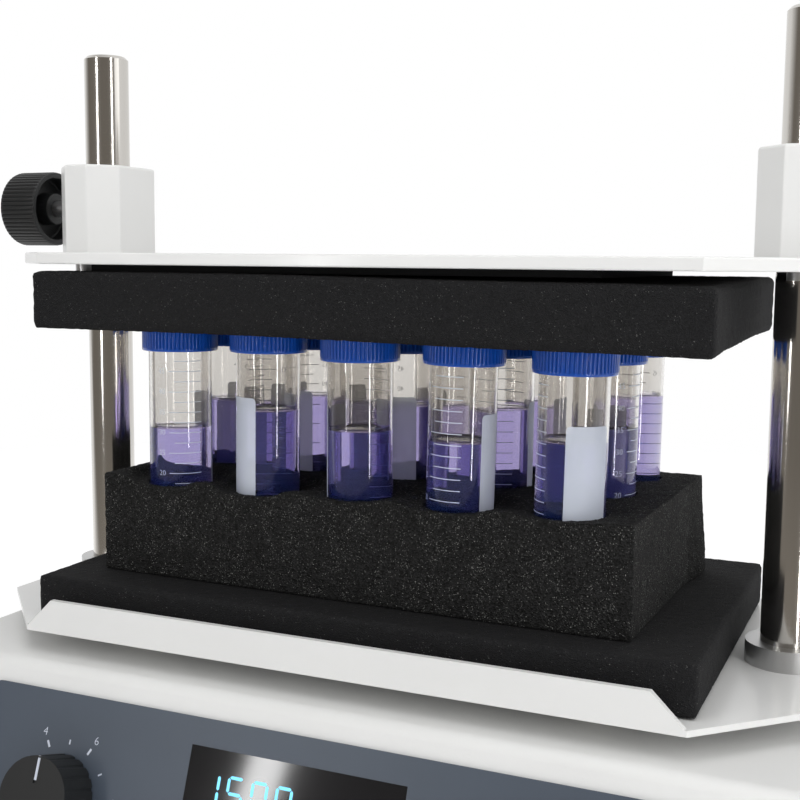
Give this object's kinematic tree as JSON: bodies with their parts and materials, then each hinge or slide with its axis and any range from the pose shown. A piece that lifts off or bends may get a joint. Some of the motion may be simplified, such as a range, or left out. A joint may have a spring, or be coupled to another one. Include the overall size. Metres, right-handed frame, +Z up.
{
  "type": "vortex mixer",
  "caption": "Multi-tube vortex mixer: orbiting platform with a foam rack of capped tubes, held down by a padded clamp plate that slides on two columns with locking knobs.",
  "frame": {"origin": "on the table under the middle of the platform, at the middle of the overall box in plan", "axes": "+X to the user's right, along the columns' spread; +Y to the back; +Z up"},
  "size_m": [0.452, 0.293, 0.4202],
  "materials": {
    "white_paint": "smooth semi-gloss white powder coat",
    "housing_paint": "fine textured white powder coat",
    "black_foam": "open-cell foam with fine bright cell edges",
    "rack_foam": "coarser open-cell foam",
    "backing_board": "matt black sheet",
    "column_steel": "polished drawn bar",
    "zinc_steel": "zinc plated",
    "cast_alloy": "machined",
    "bush_plastic": "natural acetal",
    "knob_plastic": "moulded black, fine grain",
    "foot_rubber": "matt",
    "panel_plastic": "dark blue-grey film over sheet",
    "display_lens": "smoked window",
    "button_plastic": "moulded grey",
    "black_plastic": "moulded black",
    "circuit_board": "solder mask",
    "supply_case": "folded sheet",
    "motor_paint": "black",
    "tube_plastic": "clear",
    "liquid": "clear violet liquid",
    "cap_plastic": "moulded blue, ribbed"
  },
  "bodies": {
    "base": {"rubber_feet": "foot_rubber", "foot_screws": "zinc_steel", "base_plate": "housing_paint", "housing_shell": "housing_paint", "housing_screws": "zinc_steel", "control_panel": "panel_plastic", "display_window": "display_lens", "display_module": "black_plastic", "dial_potentiometers": "black_plastic", "power_inlet": "black_plastic", "switch_frame": "black_plastic", "power_supply": "supply_case", "control_board": "circuit_board", "board_spacers": "black_plastic", "drive_plate": "cast_alloy", "drive_pillars": "zinc_steel", "motor": "motor_paint", "motor_screws": "zinc_steel", "idler_posts": "cast_alloy", "idler_bearings": "zinc_steel"},
    "crank": {"motor_shaft": "zinc_steel", "crank": "cast_alloy", "crank_grub_screw": "zinc_steel"},
    "idler_front_left": {"idler_front_left": "zinc_steel"},
    "idler_front_right": {"idler_front_right": "zinc_steel"},
    "idler_rear_left": {"idler_rear_left": "zinc_steel"},
    "idler_rear_right": {"idler_rear_right": "zinc_steel"},
    "platform": {"platform_tray": "white_paint", "drive_hub": "cast_alloy", "hub_bearing": "zinc_steel", "hub_screws": "zinc_steel", "idler_bushes": "bush_plastic", "left_column": "column_steel", "right_column": "column_steel", "column_collars": "cast_alloy", "column_nuts": "zinc_steel", "lower_pad": "black_foam", "tube_rack": "rack_foam", "sample_tubes": "tube_plastic", "tube_liquid": "liquid", "tube_caps": "cap_plastic"},
    "clamp": {"clamp_plate": "white_paint", "pad_backing": "backing_board", "upper_pad": "black_foam", "block_screws": "zinc_steel", "left_block": "white_paint", "right_block": "white_paint", "slide_bushes": "bush_plastic"},
    "left_clamp_knob": {"left_knob": "knob_plastic", "left_stud": "zinc_steel"},
    "right_clamp_knob": {"right_knob": "knob_plastic", "right_stud": "zinc_steel"},
    "speed_dial": {"speed_dial": "knob_plastic"},
    "time_dial": {"time_dial": "knob_plastic"},
    "start_button": {"start_button": "button_plastic"},
    "stop_button": {"stop_button": "button_plastic"},
    "pulse_button": {"pulse_button": "button_plastic"},
    "power_rocker": {"power_rocker": "black_plastic"}
  },
  "joints": [
    {"name": "crank_spin", "type": "hinge", "parent": "base", "child": "crank", "pos_m": [-0.002, 0, 0.11], "axis": [0, 0, 1], "continuous": true},
    {"name": "platform_orbit", "type": "hinge", "parent": "crank", "child": "platform", "pos_m": [0, 0, 0.14], "axis": [0, 0, 1], "continuous": true},
    {"name": "idler_front_left_spin", "type": "hinge", "parent": "base", "child": "idler_front_left", "pos_m": [-0.107, -0.058, 0.12], "axis": [0, 0, 1], "continuous": true},
    {"name": "idler_front_right_spin", "type": "hinge", "parent": "base", "child": "idler_front_right", "pos_m": [0.103, -0.058, 0.12], "axis": [0, 0, 1], "continuous": true},
    {"name": "idler_rear_left_spin", "type": "hinge", "parent": "base", "child": "idler_rear_left", "pos_m": [-0.107, 0.058, 0.12], "axis": [0, 0, 1], "continuous": true},
    {"name": "idler_rear_right_spin", "type": "hinge", "parent": "base", "child": "idler_rear_right", "pos_m": [0.103, 0.058, 0.12], "axis": [0, 0, 1], "continuous": true},
    {"name": "clamp_slide", "type": "slide", "parent": "platform", "child": "clamp", "axis": [0, 0, 1], "range_m": [0, 0.05]},
    {"name": "left_knob_turn", "type": "hinge", "parent": "clamp", "child": "left_clamp_knob", "pos_m": [-0.21, 0, 0.3447], "axis": [-1, 0, 0], "range_deg": [0, 540]},
    {"name": "right_knob_turn", "type": "hinge", "parent": "clamp", "child": "right_clamp_knob", "pos_m": [0.21, 0, 0.3447], "axis": [1, 0, 0], "range_deg": [0, 540]},
    {"name": "speed_dial_turn", "type": "hinge", "parent": "base", "child": "speed_dial", "pos_m": [-0.108, -0.12198, 0.0925], "axis": [0, -0.9397, 0.342], "range_deg": [-150, 150]},
    {"name": "time_dial_turn", "type": "hinge", "parent": "base", "child": "time_dial", "pos_m": [0.108, -0.12198, 0.0925], "axis": [0, -0.9397, 0.342], "range_deg": [-150, 150]},
    {"name": "start_button_press", "type": "slide", "parent": "base", "child": "start_button", "axis": [0, 0.9397, -0.342], "range_m": [0, 0.0015], "stiffness_N_per_m": 900, "springref_m": -0.0006},
    {"name": "stop_button_press", "type": "slide", "parent": "base", "child": "stop_button", "axis": [0, 0.9397, -0.342], "range_m": [0, 0.0015], "stiffness_N_per_m": 900, "springref_m": -0.0006},
    {"name": "pulse_button_press", "type": "slide", "parent": "base", "child": "pulse_button", "axis": [0, 0.9397, -0.342], "range_m": [0, 0.0015], "stiffness_N_per_m": 900, "springref_m": -0.0006},
    {"name": "rocker_tip", "type": "hinge", "parent": "base", "child": "power_rocker", "pos_m": [-0.02, 0.1395, 0.057], "axis": [1, 0, 0], "range_deg": [-14, 0]}
  ],
  "couplings": [
    {"joint": "platform_orbit", "follows": "crank_spin", "ratio": -1},
    {"joint": "idler_front_left_spin", "follows": "crank_spin", "ratio": 1},
    {"joint": "idler_front_right_spin", "follows": "crank_spin", "ratio": 1},
    {"joint": "idler_rear_left_spin", "follows": "crank_spin", "ratio": 1},
    {"joint": "idler_rear_right_spin", "follows": "crank_spin", "ratio": 1}
  ]
}
